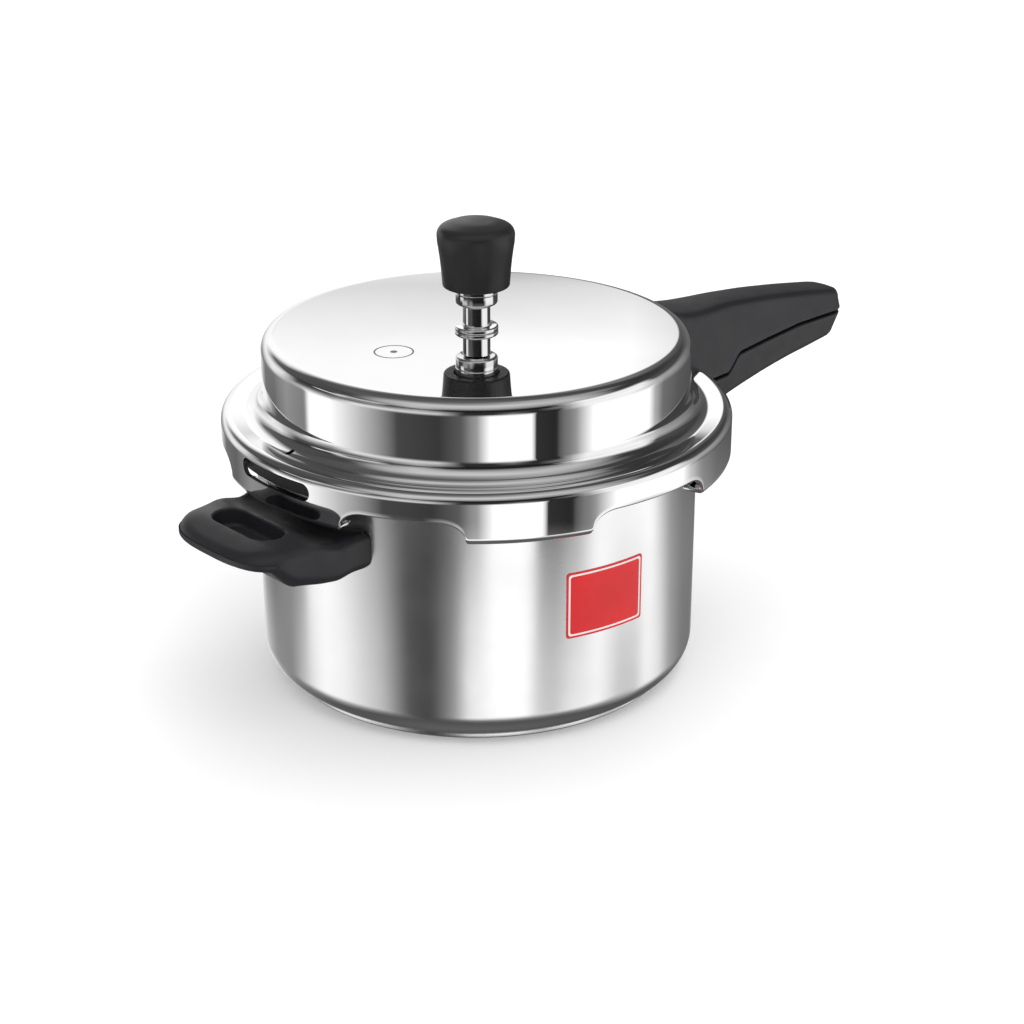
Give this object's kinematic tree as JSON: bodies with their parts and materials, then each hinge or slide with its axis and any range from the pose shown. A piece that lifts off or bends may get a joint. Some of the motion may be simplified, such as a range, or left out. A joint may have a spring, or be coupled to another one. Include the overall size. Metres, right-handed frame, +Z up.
{
  "type": "stovetop pressure cooker",
  "caption": "Outer-lid stovetop pressure cooker with a locking lid, a weight valve, a two-part long handle and a helper handle",
  "frame": {"origin": "centre of the underside of the base disc", "axes": "+X along the long handle, +Z up, -X towards the helper handle"},
  "size_m": [0.373, 0.2194, 0.1981],
  "materials": {
    "pot_steel": "satin polished stainless steel",
    "lid_steel": "mirror polished stainless steel",
    "disc_metal": "satin",
    "handle_plastic": "matte charcoal heat-resistant plastic",
    "knob_plastic": "matte charcoal heat-resistant plastic",
    "gasket_rubber": "smooth black",
    "label_film": "gloss red with a white line",
    "bracket_steel": "pressed steel",
    "rivet_steel": "bright",
    "screw_steel": "zinc plated",
    "tube_chrome": "bright chrome",
    "weight_chrome": "bright chrome",
    "nut_steel": "machined",
    "plug_metal": "machined",
    "core_alloy": "dull cast alloy"
  },
  "bodies": {
    "pot": {"pot_body": "pot_steel", "base_disc": "disc_metal", "label": "label_film", "pot_handle": "handle_plastic", "pot_handle_bracket": "bracket_steel", "pot_handle_rivets": "rivet_steel", "pot_handle_screw": "screw_steel", "helper_handle": "handle_plastic", "helper_bracket": "bracket_steel", "helper_rivets": "rivet_steel", "helper_screw": "screw_steel"},
    "seal": {"gasket": "gasket_rubber"},
    "lid": {"lid": "lid_steel", "lid_handle": "handle_plastic", "lid_handle_bracket": "bracket_steel", "lid_handle_rivets": "rivet_steel", "lid_handle_screw": "screw_steel", "vent_tube": "tube_chrome", "vent_tube_washer": "nut_steel", "vent_tube_nut": "nut_steel", "safety_plug": "plug_metal", "safety_plug_core": "core_alloy", "safety_plug_washer": "nut_steel", "safety_plug_nut": "nut_steel"},
    "needle": {"weight_needle": "tube_chrome"},
    "weight": {"weight_body": "weight_chrome", "weight_stud": "screw_steel", "weight_knob": "knob_plastic"}
  },
  "joints": [
    {"name": "lid_lift", "type": "slide", "parent": "pot", "child": "seal", "axis": [0, 0, 1], "range_m": [0, 0.12]},
    {"name": "lid_turn", "type": "hinge", "parent": "seal", "child": "lid", "pos_m": [0, 0, 0.115], "axis": [0, 0, 1], "range_deg": [0, 30]},
    {"name": "weight_lift", "type": "slide", "parent": "lid", "child": "needle", "axis": [0, 0, 1], "range_m": [0, 0.035]},
    {"name": "weight_spin", "type": "hinge", "parent": "needle", "child": "weight", "pos_m": [0, 0, 0.178], "axis": [0, 0, 1], "continuous": true}
  ]
}
